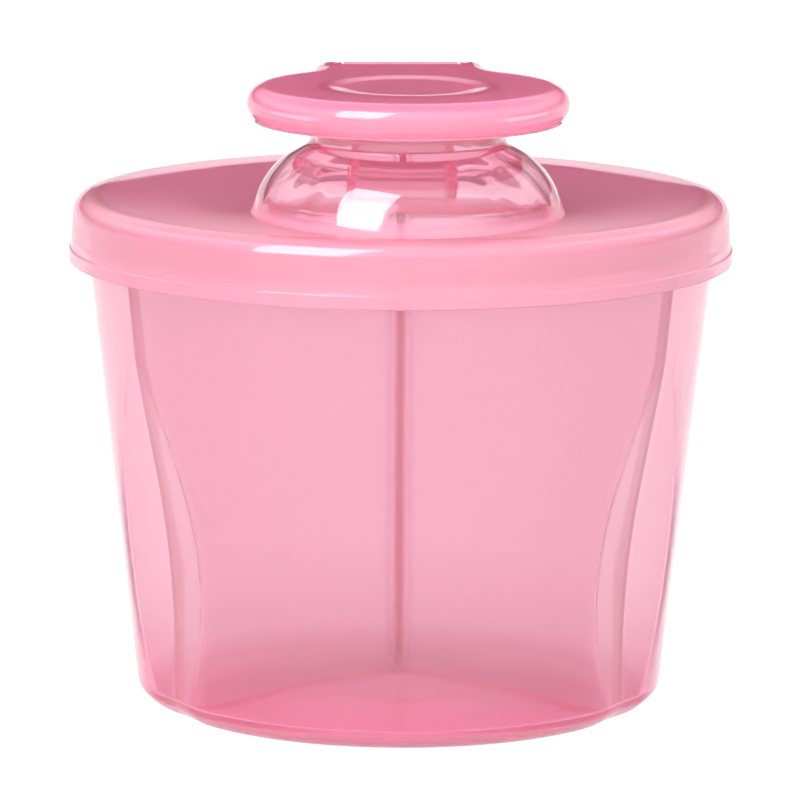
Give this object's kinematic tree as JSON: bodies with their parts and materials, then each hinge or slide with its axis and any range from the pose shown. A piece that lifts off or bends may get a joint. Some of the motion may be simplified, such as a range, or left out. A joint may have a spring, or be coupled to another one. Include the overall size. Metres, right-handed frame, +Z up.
{
  "type": "formula dispenser",
  "caption": "Round translucent powder dispenser with a lift-out divider, a turning lid with a funnel spout, and a hinged round cap.",
  "frame": {"origin": "centre of the container's foot, on the surface it stands on", "axes": "+Z up along the container's axis, -Y the front, where the spout stands, +X to the right seen from the front"},
  "size_m": [0.11, 0.11, 0.1067],
  "materials": {
    "container_pink": "translucent moulded polypropylene, glossy outside",
    "divider_pink": "translucent moulded polypropylene, glossy",
    "lid_pink": "translucent moulded polypropylene, high gloss",
    "cap_pink": "translucent moulded polypropylene, high gloss"
  },
  "bodies": {
    "container": {"container": "container_pink"},
    "divider": {"divider": "divider_pink"},
    "lid": {"lid": "lid_pink"},
    "cap": {"cap": "cap_pink"}
  },
  "joints": [
    {"name": "divider_lift", "type": "slide", "parent": "container", "child": "divider", "axis": [0, 0, 1], "range_m": [0, 0.09]},
    {"name": "lid_turn", "type": "hinge", "parent": "divider", "child": "lid", "pos_m": [0, 0, 0.08], "axis": [0, 0, 1], "continuous": true},
    {"name": "cap_flip", "type": "hinge", "parent": "lid", "child": "cap", "pos_m": [-0.00024, 0.00539, 0.10387], "axis": [-0.999, -0.0436, 0], "range_deg": [0, 150]}
  ]
}
